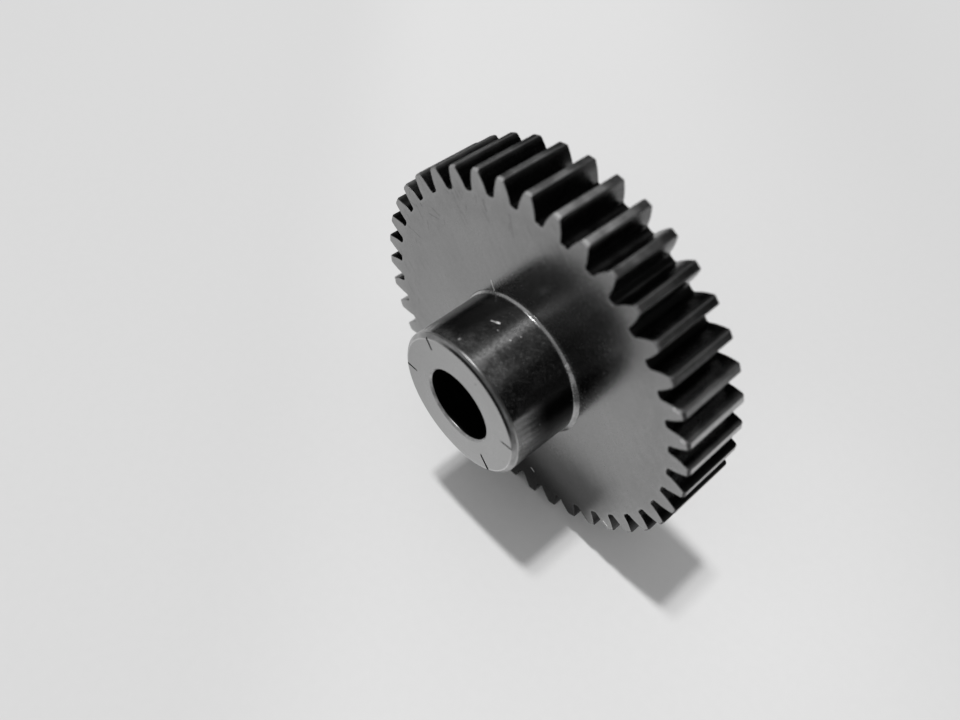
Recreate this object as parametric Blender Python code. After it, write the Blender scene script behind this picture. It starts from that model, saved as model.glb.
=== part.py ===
"""Spur gear with a hub on one side: a toothed wheel, and a hub seated in its
stepped hole with a small gap between them.

The gear stands on its teeth. Its axis is Y, the hub projects from the wheel's
front towards -Y, Z is up. The origin is on the bore's axis, half way between
the hub's front end and the wheel's back face. Lengths are in metres.
"""

import math

import bmesh
import bpy
from mathutils import Matrix, Vector

# ---------------------------------------------------------------- dimensions
MM = 0.001

MODULE = 1.0 * MM
TEETH = 40
PRESSURE_ANGLE = math.radians(20.0)
ADDENDUM = 1.00 * MODULE
DEDENDUM = 1.25 * MODULE
ROOT_FILLET = 0.30 * MODULE

FACE_WIDTH = 7.75 * MM       # length of the teeth along the axis
HUB_PROJECTION = 8.25 * MM   # hub in front of the wheel's front face
TOOTH_CHAMFER = 0.20 * MM    # 45 degrees, at both ends of the outside diameter

HUB_RADIUS = 8.0 * MM
HUB_CHAMFER = 0.40 * MM
BORE_RADIUS = 4.0 * MM
BORE_CHAMFER = 0.30 * MM

COLLAR_RISE = 0.42 * MM      # 45 degree slope from the hub out to the collar
COLLAR_RADIUS = HUB_RADIUS + COLLAR_RISE
COLLAR_DEPTH = 0.70 * MM     # how far the collar goes into the wheel
TAIL_RADIUS = 6.5 * MM       # the back of the hub, inside the wheel
TAIL_CHAMFER = 0.25 * MM

SEAT_GAP = 0.30 * MM         # between hub and wheel, around and behind the collar

# Straight grooves in the hub's front end: angle in degrees from +X towards +Z,
# then the radii in mm where the groove starts and ends.
SCRIBE_MARKS = (
    (10.7, 6.20, 7.55),
    (126.8, 6.30, 7.55),
    (185.4, 6.10, 7.55),
    (310.4, 5.70, 7.55),
)
SCRIBE_WIDTH = 0.22 * MM
SCRIBE_DEPTH = 0.15 * MM

# Mesh resolution and clean-up
ROUND_SEGMENTS = 80          # facets round the hub and its hole
BLANK_SEGMENTS = 3 * TEETH   # facets round the tooth chamfers
FLANK_STEPS = 4
FILLET_STEPS = 3
SHARP_ANGLE = math.radians(25)
WELD_DISTANCE = 1e-7
CUTTER_OVERSHOOT = 1.0 * MM  # how far the turned tools run past the wheel

# ------------------------------------------------------------ derived places
TOTAL_LENGTH = HUB_PROJECTION + FACE_WIDTH
HUB_FRONT_Y = -TOTAL_LENGTH / 2
BACK_Y = TOTAL_LENGTH / 2
WHEEL_FRONT_Y = BACK_Y - FACE_WIDTH
COLLAR_BACK_Y = WHEEL_FRONT_Y + COLLAR_DEPTH

PITCH_RADIUS = MODULE * TEETH / 2
BASE_RADIUS = PITCH_RADIUS * math.cos(PRESSURE_ANGLE)
TIP_RADIUS = PITCH_RADIUS + ADDENDUM
ROOT_RADIUS = PITCH_RADIUS - DEDENDUM
TOOTH_PITCH = 2 * math.pi / TEETH


# -------------------------------------------------------------------- helpers
def clear_scene():
    for obj in list(bpy.data.objects):
        bpy.data.objects.remove(obj, do_unlink=True)


def steel(name, colour, roughness):
    material = bpy.data.materials.new(name)
    material.use_nodes = True
    shader = next(n for n in material.node_tree.nodes if n.type == "BSDF_PRINCIPLED")
    shader.inputs["Base Color"].default_value = (*colour, 1.0)
    shader.inputs["Roughness"].default_value = roughness
    shader.inputs["Metallic"].default_value = 1.0
    return material


def add_object(name, bm, material=None):
    """Turn a bmesh into an object in the scene, shaded smooth between sharp edges."""
    bmesh.ops.remove_doubles(bm, verts=bm.verts, dist=WELD_DISTANCE)
    bmesh.ops.recalc_face_normals(bm, faces=bm.faces)
    mesh = bpy.data.meshes.new(name)
    bm.to_mesh(mesh)
    bm.free()
    mesh.shade_smooth()
    mesh.set_sharp_from_angle(angle=SHARP_ANGLE)
    obj = bpy.data.objects.new(name, mesh)
    bpy.context.scene.collection.objects.link(obj)
    if material:
        mesh.materials.append(material)
    return obj


def turned(outline, segments):
    """A solid turned about Y from a closed outline of (radius, y) pairs, with
    its first row of vertices on +X. Points on the axis are welded later, by
    add_object."""
    bm = bmesh.new()
    verts = [bm.verts.new(Vector((radius, y, 0.0))) for radius, y in outline]
    edges = [bm.edges.new(ends) for ends in zip(verts, verts[1:] + verts[:1])]
    bmesh.ops.spin(
        bm,
        geom=verts + edges,
        cent=(0.0, 0.0, 0.0),
        axis=(0.0, 1.0, 0.0),
        angle=2 * math.pi,
        steps=segments,
        use_merge=True,
    )
    return bm


def add_boolean(target, operation, tool_name, tool_bm):
    """Apply a tool to the target by a modifier. The tool stays in the scene,
    shown as wires and not rendered."""
    tool = add_object(tool_name, tool_bm)
    tool.hide_render = True
    tool.display_type = "WIRE"
    modifier = target.modifiers.new(f"{operation.lower()}_{tool.name}", "BOOLEAN")
    modifier.operation = operation
    modifier.solver = "EXACT"
    modifier.object = tool


# ------------------------------------------------------------- tooth geometry
def involute(angle):
    return math.tan(angle) - angle


def half_tooth_angle(radius):
    """Half the angle a tooth fills at this radius, on its involute flank."""
    at_pitch = TOOTH_PITCH / 4 + involute(PRESSURE_ANGLE)
    return at_pitch - involute(math.acos(BASE_RADIUS / radius))


def half_tooth_outline():
    """(radius, angle) pairs down one flank from the tip, round the root fillet
    and onto the root circle. Angles are from the tooth's centre line."""
    form_radius = max(BASE_RADIUS, ROOT_RADIUS + ROOT_FILLET)
    points = []
    for i in range(FLANK_STEPS + 1):
        radius = TIP_RADIUS + (form_radius - TIP_RADIUS) * i / FLANK_STEPS
        points.append((radius, half_tooth_angle(radius)))

    # The fillet is a quarter of an ellipse between flank and root circle.
    flank_angle = points[-1][1]
    fillet_angle = ROOT_FILLET / ROOT_RADIUS
    for i in range(1, FILLET_STEPS + 1):
        sweep = math.pi / 2 * i / FILLET_STEPS
        radius = form_radius - (form_radius - ROOT_RADIUS) * math.sin(sweep)
        points.append((radius, flank_angle + fillet_angle * (1 - math.cos(sweep))))
    return points


def gear_outline():
    """The closed outline of the teeth, as points in the XZ plane. A tooth gap
    is centred on the lowest point, so that the gear rests on two teeth."""
    half = half_tooth_outline()
    one_tooth = [(radius, -angle) for radius, angle in reversed(half)] + half
    outline = []
    for tooth in range(TEETH):
        centre = (tooth + 0.5) * TOOTH_PITCH
        for radius, angle in one_tooth:
            direction = centre + angle
            outline.append((radius * math.cos(direction), radius * math.sin(direction)))
    return outline


def extruded_teeth():
    bm = bmesh.new()
    front = bm.faces.new([bm.verts.new((x, WHEEL_FRONT_Y, z)) for x, z in gear_outline()])
    extruded = bmesh.ops.extrude_face_region(bm, geom=[front])
    back_verts = [g for g in extruded["geom"] if isinstance(g, bmesh.types.BMVert)]
    bmesh.ops.translate(bm, verts=back_verts, vec=(0.0, FACE_WIDTH, 0.0))
    return bm


# ---------------------------------------------------------------------- wheel
def chamfered_blank():
    """The turned blank that the teeth are cut in: its two ends carry the
    chamfers. One facet of each cone is centred on each tooth."""
    # Widened so that the middles of the facets lie at the true radius.
    facet_scale = 1 / math.cos(math.pi / BLANK_SEGMENTS)
    end_radius = (TIP_RADIUS - TOOTH_CHAMFER - CUTTER_OVERSHOOT) * facet_scale
    outer_radius = (TIP_RADIUS + CUTTER_OVERSHOOT) * facet_scale
    front_y = WHEEL_FRONT_Y - CUTTER_OVERSHOOT
    back_y = BACK_Y + CUTTER_OVERSHOOT
    outline = [
        (0.0, front_y),
        (end_radius, front_y),
        (outer_radius, WHEEL_FRONT_Y + TOOTH_CHAMFER + CUTTER_OVERSHOOT),
        (outer_radius, BACK_Y - TOOTH_CHAMFER - CUTTER_OVERSHOOT),
        (end_radius, back_y),
        (0.0, back_y),
    ]
    return turned(outline, BLANK_SEGMENTS)


def stepped_hole():
    """The hole for the hub: a counterbore for its collar, then its tail."""
    front_y = WHEEL_FRONT_Y - CUTTER_OVERSHOOT
    back_y = BACK_Y + CUTTER_OVERSHOOT
    outline = [
        (0.0, front_y),
        (COLLAR_RADIUS + SEAT_GAP, front_y),
        (COLLAR_RADIUS + SEAT_GAP, COLLAR_BACK_Y + SEAT_GAP),
        (TAIL_RADIUS + SEAT_GAP, COLLAR_BACK_Y + SEAT_GAP),
        (TAIL_RADIUS + SEAT_GAP, back_y),
        (0.0, back_y),
    ]
    return turned(outline, ROUND_SEGMENTS)


def make_toothed_wheel():
    material = steel("wheel_steel", colour=(0.22, 0.22, 0.22), roughness=0.30)
    wheel = add_object("toothed_wheel", extruded_teeth(), material)
    add_boolean(wheel, "INTERSECT", "blank_ends", chamfered_blank())
    add_boolean(wheel, "DIFFERENCE", "hub_seat", stepped_hole())
    return wheel


# ------------------------------------------------------------------------ hub
def scribe_groove(degrees, inner, outer):
    """A radial bar, half of it sunk in the hub's front end."""
    bm = bmesh.new()
    bmesh.ops.create_cube(bm, size=1.0)
    size = ((outer - inner) * MM, 2 * SCRIBE_DEPTH, SCRIBE_WIDTH)
    bmesh.ops.scale(bm, verts=bm.verts, vec=size)
    centre = ((inner + outer) / 2 * MM, HUB_FRONT_Y, 0.0)
    bmesh.ops.translate(bm, verts=bm.verts, vec=centre)
    # A negative turn about Y takes +X towards +Z.
    turn = Matrix.Rotation(-math.radians(degrees), 3, "Y")
    bmesh.ops.rotate(bm, verts=bm.verts, cent=(0.0, 0.0, 0.0), matrix=turn)
    return bm


def make_hub():
    outline = [
        (BORE_RADIUS, HUB_FRONT_Y + BORE_CHAMFER),
        (BORE_RADIUS + BORE_CHAMFER, HUB_FRONT_Y),
        (HUB_RADIUS - HUB_CHAMFER, HUB_FRONT_Y),
        (HUB_RADIUS, HUB_FRONT_Y + HUB_CHAMFER),
        (HUB_RADIUS, WHEEL_FRONT_Y - COLLAR_RISE),
        (COLLAR_RADIUS, WHEEL_FRONT_Y),
        (COLLAR_RADIUS, COLLAR_BACK_Y),
        (TAIL_RADIUS, COLLAR_BACK_Y),
        (TAIL_RADIUS, BACK_Y - TAIL_CHAMFER),
        (TAIL_RADIUS - TAIL_CHAMFER, BACK_Y),
        (BORE_RADIUS + BORE_CHAMFER, BACK_Y),
        (BORE_RADIUS, BACK_Y - BORE_CHAMFER),
    ]
    material = steel("hub_steel", colour=(0.26, 0.26, 0.26), roughness=0.28)
    hub = add_object("hub", turned(outline, ROUND_SEGMENTS), material)
    for number, mark in enumerate(SCRIBE_MARKS, 1):
        add_boolean(hub, "DIFFERENCE", f"scribe_{number}", scribe_groove(*mark))
    return hub


# ------------------------------------------------------------------- assembly
clear_scene()
gear = bpy.data.objects.new("spur_gear", None)
bpy.context.scene.collection.objects.link(gear)
for piece in (make_toothed_wheel(), make_hub()):
    piece.parent = gear
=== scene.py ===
import math

import bmesh
import bpy
import numpy as np
from mathutils import Matrix, Vector


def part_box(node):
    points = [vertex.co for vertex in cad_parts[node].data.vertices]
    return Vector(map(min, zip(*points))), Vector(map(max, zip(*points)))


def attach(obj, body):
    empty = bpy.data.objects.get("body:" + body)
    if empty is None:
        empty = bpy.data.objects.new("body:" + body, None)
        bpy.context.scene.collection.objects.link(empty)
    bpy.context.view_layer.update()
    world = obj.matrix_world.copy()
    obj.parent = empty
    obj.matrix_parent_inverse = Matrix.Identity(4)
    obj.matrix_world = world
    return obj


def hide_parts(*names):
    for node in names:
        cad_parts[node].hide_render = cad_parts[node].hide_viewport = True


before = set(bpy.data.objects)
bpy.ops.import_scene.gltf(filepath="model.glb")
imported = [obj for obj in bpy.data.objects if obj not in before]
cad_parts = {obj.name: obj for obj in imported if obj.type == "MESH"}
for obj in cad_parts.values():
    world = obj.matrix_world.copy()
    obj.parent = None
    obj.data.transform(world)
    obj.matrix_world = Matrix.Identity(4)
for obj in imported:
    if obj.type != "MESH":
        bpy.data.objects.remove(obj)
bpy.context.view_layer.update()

# Lengths below are in millimetres until a mesh is made.
MM = 0.001
wheel_lo, wheel_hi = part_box("toothed_wheel")
hub_lo, hub_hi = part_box("hub")

BACK = wheel_hi.y / MM            # the wheel's back face
HUB_END = hub_lo.y / MM           # the hub's end face
WEB = BACK - 7.75                 # the wheel's front face
FLOOR = wheel_lo.z / MM

MODULE, TEETH, PRESSURE = 1.0, 40, math.radians(20.0)
PITCH_R = MODULE * TEETH / 2
BASE_R = PITCH_R * math.cos(PRESSURE)
TIP_R, ROOT_R = PITCH_R + 1.0, PITCH_R - 1.25
FORM_R = max(BASE_R, ROOT_R + 0.30)
TOOTH = 2 * math.pi / TEETH
HUB_R, BORE_R, COLLAR_R, TAIL_R = 8.0, 4.0, 8.42, 6.5
SEAM = 0.012                      # dark line where the hub enters the wheel
SEAT_R = 8.20                     # the collar goes into the wheel's face at this radius

rng = np.random.default_rng(40)


# ------------------------------------------------------------------ mesh tools
def smoothstep(x):
    x = np.clip(x, 0.0, 1.0)
    return x * x * (3 - 2 * x)


def mesh_object(name, coords, faces, face_materials, materials):
    """coords in mm. faces is a list of index tuples."""
    mesh = bpy.data.meshes.new(name)
    mesh.from_pydata((np.asarray(coords) * MM).tolist(), [], faces)
    for material in materials:
        mesh.materials.append(material)
    mesh.polygons.foreach_set("material_index", np.asarray(face_materials, np.int32))
    mesh.validate()
    obj = bpy.data.objects.new(name, mesh)
    bpy.context.scene.collection.objects.link(obj)
    return obj


def face_outwards(mesh):
    bm = bmesh.new()
    bm.from_mesh(mesh)
    bmesh.ops.recalc_face_normals(bm, faces=bm.faces)
    bm.to_mesh(mesh)
    bm.free()


def area_normals(mesh, flat_materials=()):
    """Normals weighted by face area, so that large faces stay flat and only the
    rounded edges turn. Faces with a material in flat_materials are left flat."""
    n_poly, n_loop, n_vert = len(mesh.polygons), len(mesh.loops), len(mesh.vertices)
    normal = np.empty(n_poly * 3)
    mesh.polygons.foreach_get("normal", normal)
    normal = normal.reshape(-1, 3)
    area = np.empty(n_poly)
    mesh.polygons.foreach_get("area", area)
    start = np.empty(n_poly, np.int32)
    mesh.polygons.foreach_get("loop_start", start)
    total = np.empty(n_poly, np.int32)
    mesh.polygons.foreach_get("loop_total", total)
    slot = np.empty(n_poly, np.int32)
    mesh.polygons.foreach_get("material_index", slot)
    vert = np.empty(n_loop, np.int32)
    mesh.loops.foreach_get("vertex_index", vert)
    order = np.argsort(start)
    poly_of_loop = np.empty(n_loop, np.int32)
    poly_of_loop[:] = np.repeat(order, total[order])
    flat = np.isin(slot, list(flat_materials))
    weight = np.where(flat, 0.0, area)[poly_of_loop, None] * normal[poly_of_loop]
    sums = np.zeros((n_vert, 3))
    np.add.at(sums, vert, weight)
    loops = sums[vert]
    length = np.linalg.norm(loops, axis=1)
    use_face = flat[poly_of_loop] | (length < 1e-12)
    loops[use_face] = normal[poly_of_loop[use_face]]
    loops /= np.maximum(np.linalg.norm(loops, axis=1), 1e-12)[:, None]
    mesh.shade_smooth()
    mesh.normals_split_custom_set(loops.tolist())


def set_point_attribute(mesh, name, values):
    attribute = mesh.attributes.new(name, "FLOAT", "POINT")
    attribute.data.foreach_set("value", np.asarray(values, np.float32))


# --------------------------------------------------------------------- shaders
class Graph:
    """Short forms for building a node tree."""

    def __init__(self, tree):
        self.tree = tree
        self.tree.nodes.clear()

    def node(self, kind, inputs=None, **settings):
        node = self.tree.nodes.new(kind)
        for key, value in settings.items():
            setattr(node, key, value)
        for key, value in (inputs or {}).items():
            socket = node.inputs[key]
            if isinstance(value, bpy.types.NodeSocket):
                self.tree.links.new(value, socket)
            else:
                socket.default_value = value
        return node

    def math(self, operation, a, b=0.0, c=0.0, clamp=False):
        return self.node(
            "ShaderNodeMath", {0: a, 1: b, 2: c}, operation=operation, use_clamp=clamp
        ).outputs[0]

    def add(self, a, b):
        return self.math("ADD", a, b)

    def mul(self, a, b):
        return self.math("MULTIPLY", a, b)

    def sub(self, a, b):
        return self.math("SUBTRACT", a, b)

    def vec(self, operation, a, b=None, scale=None):
        inputs = {0: a}
        if b is not None:
            inputs[1] = b
        if scale is not None:
            inputs["Scale"] = scale
        node = self.node("ShaderNodeVectorMath", inputs, operation=operation)
        return node.outputs["Value" if operation in ("DOT_PRODUCT", "LENGTH", "DISTANCE") else "Vector"]

    def combine(self, x, y, z):
        return self.node("ShaderNodeCombineXYZ", {"X": x, "Y": y, "Z": z}).outputs[0]

    def separate(self, v):
        return self.node("ShaderNodeSeparateXYZ", {0: v}).outputs

    def noise(self, v, scale=1.0, detail=2.0, rough=0.5, distortion=0.0):
        return self.node(
            "ShaderNodeTexNoise",
            {"Vector": v, "Scale": scale, "Detail": detail, "Roughness": rough, "Distortion": distortion},
        ).outputs["Fac"]

    def voronoi(self, v, scale=1.0, randomness=1.0):
        return self.node(
            "ShaderNodeTexVoronoi", {"Vector": v, "Scale": scale, "Randomness": randomness}
        ).outputs

    def ramp(self, value, lo, hi, out_lo=0.0, out_hi=1.0, smooth=True):
        return self.node(
            "ShaderNodeMapRange",
            {"Value": value, "From Min": lo, "From Max": hi, "To Min": out_lo, "To Max": out_hi},
            interpolation_type="SMOOTHSTEP" if smooth else "LINEAR",
            clamp=True,
        ).outputs[0]

    def mix(self, factor, a, b):
        """Mixes two numbers."""
        return self.node(
            "ShaderNodeMix", {"Factor": factor, "A": a, "B": b}, data_type="FLOAT"
        ).outputs[0]

    def attribute(self, name):
        return self.node("ShaderNodeAttribute", attribute_name=name).outputs["Fac"]


def millimetres(g):
    coord = g.node("ShaderNodeTexCoord").outputs["Object"]
    return g.vec("SCALE", coord, scale=1000.0)


GRIND_ANGLE = math.radians(-50.0)   # direction of the grinding lines, from +X towards +Z


def grinding_space(g, p):
    """Along the grinding lines, across them, and depth."""
    along = g.vec("DOT_PRODUCT", p, (math.cos(GRIND_ANGLE), 0.0, math.sin(GRIND_ANGLE)))
    across = g.vec("DOT_PRODUCT", p, (-math.sin(GRIND_ANGLE), 0.0, math.cos(GRIND_ANGLE)))
    return along, across


def turned_space(g, p):
    """Unit circle position, radius and y: turned marks have no seam in these."""
    s = g.separate(p)
    radius = g.vec("LENGTH", g.combine(s[0], 0.0, s[2]))
    safe = g.math("MAXIMUM", radius, 0.01)
    return g.math("DIVIDE", s[0], safe), g.math("DIVIDE", s[2], safe), radius, s[1]


def finish_steel(g, colour, rough, height=None, bump=2e-6, aniso=0.0, tangent=None, metal=1.0):
    """metal below 1 stands for a dull film over the steel, which scatters light."""
    principled = g.node("ShaderNodeBsdfPrincipled", {"Metallic": metal, "Roughness": rough})
    tint = g.node("ShaderNodeCombineColor", {"Red": colour, "Green": colour, "Blue": colour})
    g.tree.links.new(tint.outputs[0], principled.inputs["Base Color"])
    if height is not None:
        node = g.node("ShaderNodeBump", {"Height": height, "Distance": bump, "Strength": 1.0})
        g.tree.links.new(node.outputs["Normal"], principled.inputs["Normal"])
    if aniso:
        principled.inputs["Anisotropic"].default_value = aniso
        if tangent is not None:
            g.tree.links.new(tangent, principled.inputs["Tangent"])
    out = g.node("ShaderNodeOutputMaterial")
    g.tree.links.new(principled.outputs[0], out.inputs["Surface"])
    return principled


def new_material(name):
    material = bpy.data.materials.new(name)
    material.use_nodes = True
    return material, Graph(material.node_tree)


def specks(g, p, scale, share, size):
    """1 on sparse small spots: a share of the cells of a random grid holds one."""
    cells = g.voronoi(p, scale)
    distance, colour = cells["Distance"], cells["Color"]
    pick = g.node("ShaderNodeSeparateColor", {0: colour}).outputs
    chosen = g.math("LESS_THAN", pick[0], share)
    spot = g.ramp(distance, size * 0.55, size, 1.0, 0.0)
    return g.mul(chosen, g.mul(spot, g.ramp(pick[1], 0.0, 1.0, 0.35, 1.0)))


def streak(g, p, a, b, width):
    """1 on the line from point a to point b, fading out over its width, in mm."""
    a, b = Vector(a), Vector(b)
    ab = b - a
    rel = g.vec("SUBTRACT", p, tuple(a))
    t = g.mul(g.vec("DOT_PRODUCT", rel, tuple(ab)), 1.0 / ab.length_squared)
    t = g.math("ADD", t, 0.0, clamp=True)
    nearest = g.node("ShaderNodeVectorMath", {0: tuple(ab), "Scale": t}, operation="SCALE").outputs[0]
    away = g.vec("LENGTH", g.vec("SUBTRACT", rel, nearest))
    return g.ramp(away, width * 0.3, width, 1.0, 0.0)


def mark(g, x, z, a, b, width):
    """The same line seen along Y, at any depth. It uses plain numbers only: many
    vector nodes in one shader run Cycles out of stack space."""
    dx, dz = b[0] - a[0], b[2] - a[2]
    length = math.hypot(dx, dz)
    dx, dz = dx / length, dz / length
    u = g.math("MULTIPLY_ADD", z, dz, g.math("MULTIPLY_ADD", x, dx, -(a[0] * dx + a[2] * dz)))
    v = g.math("MULTIPLY_ADD", z, dx, g.math("MULTIPLY_ADD", x, -dz, a[0] * dz - a[2] * dx))
    beyond = g.sub(u, g.math("MAXIMUM", g.math("MINIMUM", u, length), 0.0))
    away = g.math("SQRT", g.math("MULTIPLY_ADD", v, v, g.mul(beyond, beyond)))
    return g.ramp(away, width * 0.3, width, 1.0, 0.0)


def strongest(g, values):
    """The largest value. From a generator, each is merged as it is made."""
    values = iter(values)
    out = next(values)
    for value in values:
        out = g.math("MAXIMUM", out, value)
    return out


def scratches(g, along, across, length, pitch, angle, share, seed):
    """1 on sparse thin straight scratches, a few degrees off the grinding lines."""
    c, s = math.cos(angle), math.sin(angle)
    u = g.add(g.mul(along, c), g.mul(across, s))
    v = g.add(g.mul(along, -s), g.mul(across, c))
    wobble = g.mul(g.noise(g.combine(g.mul(u, 0.12), g.mul(v, 0.05), seed), 1.0, 1.0), 1.2)
    cells = g.voronoi(g.combine(g.mul(u, 1 / length), g.mul(g.add(v, wobble), 1 / pitch), seed), 1.0)
    pick = g.node("ShaderNodeSeparateColor", {0: cells["Color"]}).outputs
    chosen = g.math("LESS_THAN", pick[0], share)
    position = g.separate(cells["Position"])
    # Distance across the scratch only, in mm.
    away = g.mul(g.math("ABSOLUTE", g.sub(g.mul(g.add(v, wobble), 1 / pitch), position[1])), pitch)
    line = g.ramp(away, 0.015, 0.05, 1.0, 0.0)
    fade = g.ramp(cells["Distance"], 0.20, 0.45, 1.0, 0.0)
    return g.mul(g.mul(chosen, line), fade)


def ground_steel(name, base):
    """Flat faces of the wheel: surface ground, with very fine straight lines, a
    few darker scratches near the teeth, and small pits."""
    material, g = new_material(name)
    p = millimetres(g)
    cos_a, sin_a, radius, y = turned_space(g, p)
    along, across = grinding_space(g, p)
    fine = g.noise(g.combine(g.mul(along, 0.30), g.mul(across, 9.0), 0.0), 1.0, 4.0, 0.7)
    broad = g.noise(g.combine(g.mul(along, 0.12), g.mul(across, 1.6), 7.0), 1.0, 3.0, 0.5)
    cloud = g.noise(p, 0.11, 3.0, 0.5)
    pits = g.noise(p, 3.4, 3.0, 0.75)
    grain = g.noise(p, 9.0, 3.0, 0.7)
    wear = g.attribute("edge")
    upper_left = g.ramp(g.sub(sin_a, g.mul(cos_a, 0.8)), -0.2, 0.6, 0.12, 1.0)
    rim = g.mul(g.ramp(radius, 12.5, 17.0, 0.15, 1.0), upper_left)
    s = g.separate(p)
    front = g.ramp(s[1], WEB + 0.05, WEB + 0.12, 1.0, 0.0)
    scratch = strongest(
        g,
        [
            g.mul(scratches(g, along, across, 2.6, 0.8, math.radians(7), 0.24, 3.0), rim),
            g.mul(scratches(g, along, across, 1.5, 0.9, math.radians(-24), 0.12, 9.0), rim),
            g.mul(scratches(g, along, across, 1.1, 1.3, math.radians(38), 0.05, 15.0), rim),
        ],
    )
    single = strongest(g, (mark(g, s[0], s[2], a, b, w) for a, b, w in WEB_SCRATCHES))
    scratch = g.math("MAXIMUM", scratch, g.mul(single, front))
    dust = specks(g, p, 0.55, 0.16, 0.07)
    # Painted glint: the burrs are painted pale.
    burr = g.mul(strongest(g, (mark(g, s[0], s[2], a, b, w) for a, b, w in BURR_FLECKS)), front)
    mottle = g.mul(g.noise(g.vec("ADD", p, (2.0, 0.0, 4.0)), 0.9, 4.0, 0.65), g.ramp(radius, 13.0, 17.5, 0.5, 1.0))
    # Painted shade: the face is darkened a little at the upper right.
    shade = g.mul(g.ramp(s[0], -1.5, 5.0), g.ramp(s[2], 10.0, 15.0))
    # Painted shade low on the front face, under the hub: the colour is darkened where the face reflects the hub's
    # shadow on the floor.
    drift = g.add(s[0], g.mul(g.sub(cloud, 0.5), 9.0))
    painted_dark_reflection = g.mul(g.ramp(g.add(s[2], g.mul(s[0], 0.25)), -16.0, -9.5, 1.0, 0.0), g.ramp(drift, -12.5, -0.5))
    painted_dark_reflection = g.mul(g.mul(painted_dark_reflection, g.ramp(s[0], 12.5, 15.5, 1.0, 0.0)), g.ramp(y, WEB + 2.0, WEB + 3.0, 1.0, 0.0))
    colour = g.mul(g.ramp(fine, 0.25, 0.75, 0.965, 1.035), base)
    colour = g.mul(colour, g.ramp(broad, 0.3, 0.7, 0.985, 1.015))
    colour = g.mul(colour, g.ramp(cloud, 0.3, 0.7, 0.96, 1.04))
    colour = g.mul(colour, g.ramp(mottle, 0.25, 0.65, 1.02, 0.95))
    colour = g.mul(colour, g.ramp(pits, 0.25, 0.75, 0.955, 1.045))
    colour = g.mul(colour, g.sub(1.0, g.mul(shade, 0.16)))
    colour = g.mul(colour, g.sub(1.0, g.mul(g.mul(painted_dark_reflection, g.ramp(pits, 0.25, 0.75, 0.84, 1.08)), 0.82)))
    colour = g.mul(colour, g.ramp(scratch, 0.0, 1.0, 1.0, 0.56, smooth=False))
    colour = g.add(colour, g.add(g.mul(wear, 0.08), g.mul(dust, 0.12)))
    colour = g.add(colour, g.mul(burr, 0.65))
    rough = g.add(0.215, g.add(g.ramp(fine, 0.2, 0.8, -0.015, 0.02), g.ramp(grain, 0.3, 0.7, -0.03, 0.03)))
    rough = g.add(rough, g.add(g.ramp(cloud, 0.3, 0.7, -0.02, 0.03), g.ramp(pits, 0.3, 0.7, -0.03, 0.04)))
    height = g.add(
        g.add(g.mul(fine, 0.60), g.mul(pits, 1.05)), g.add(g.mul(grain, 0.50), g.mul(scratch, -1.2))
    )
    height = g.add(height, g.mul(burr, 9.0))
    tangent = g.combine(-math.sin(GRIND_ANGLE), 0.0, math.cos(GRIND_ANGLE))
    lint = g.ramp(g.noise(p, 3.2, 4.0, 0.85), 0.50, 0.66, 0.0, 0.085)
    metal = g.sub(g.sub(1.0, lint), g.add(g.mul(burr, 0.9), g.mul(dust, 0.35)))
    finish_steel(g, colour, rough, height, 2.2e-6, 0.35, tangent, metal)
    return material


# Single dark scratches on the wheel's front face: two ends and a width.
WEB_SCRATCHES = (
    ((-4.12, WEB, 7.15), (-4.66, WEB, 8.10), 0.06),
    ((-1.9, WEB, 8.7), (-1.75, WEB, 9.7), 0.07),
    ((-14.06, WEB, 10.03), (-12.54, WEB, 10.32), 0.05),
    ((-13.58, WEB, 11.05), (-12.38, WEB, 10.87), 0.05),
    ((-15.42, WEB, 10.45), (-15.11, WEB, 10.21), 0.08),
    ((-10.53, WEB, 14.5), (-9.37, WEB, 13.37), 0.05),
    ((-6.69, WEB, 16.84), (-6.09, WEB, 15.86), 0.08),
    ((-17.70, WEB, 5.88), (-15.34, WEB, 5.73), 0.05),
    ((-17.82, WEB, 9.58), (-15.96, WEB, 9.55), 0.05),
    ((-3.4, WEB, 17.6), (-2.6, WEB, 15.4), 0.06),
)

# Burrs drawn as bright slivers, their glint painted in as pale colour: one at the collar, the others at the corners
# of teeth.
BURR_FLECKS = (
    ((-4.26, WEB, 7.04), (-4.81, WEB, 8.05), 0.085),
    ((16.80, WEB, 10.98), (16.92, WEB, 10.68), 0.085),
    ((17.02, WEB, 11.06), (17.15, WEB, 10.76), 0.085),
    ((17.30, WEB, 11.12), (17.42, WEB, 10.82), 0.080),
    ((18.55, WEB, 8.26), (18.62, WEB, 8.00), 0.095),
    ((18.76, WEB, 8.20), (18.84, WEB, 7.98), 0.085),
    ((4.12, WEB, -16.11), (4.64, WEB, -16.31), 0.10),
    ((14.75, WEB, -13.20), (15.35, WEB, -13.42), 0.09),
    ((15.95, WEB, -12.95), (16.50, WEB, -13.05), 0.06),
)


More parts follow.
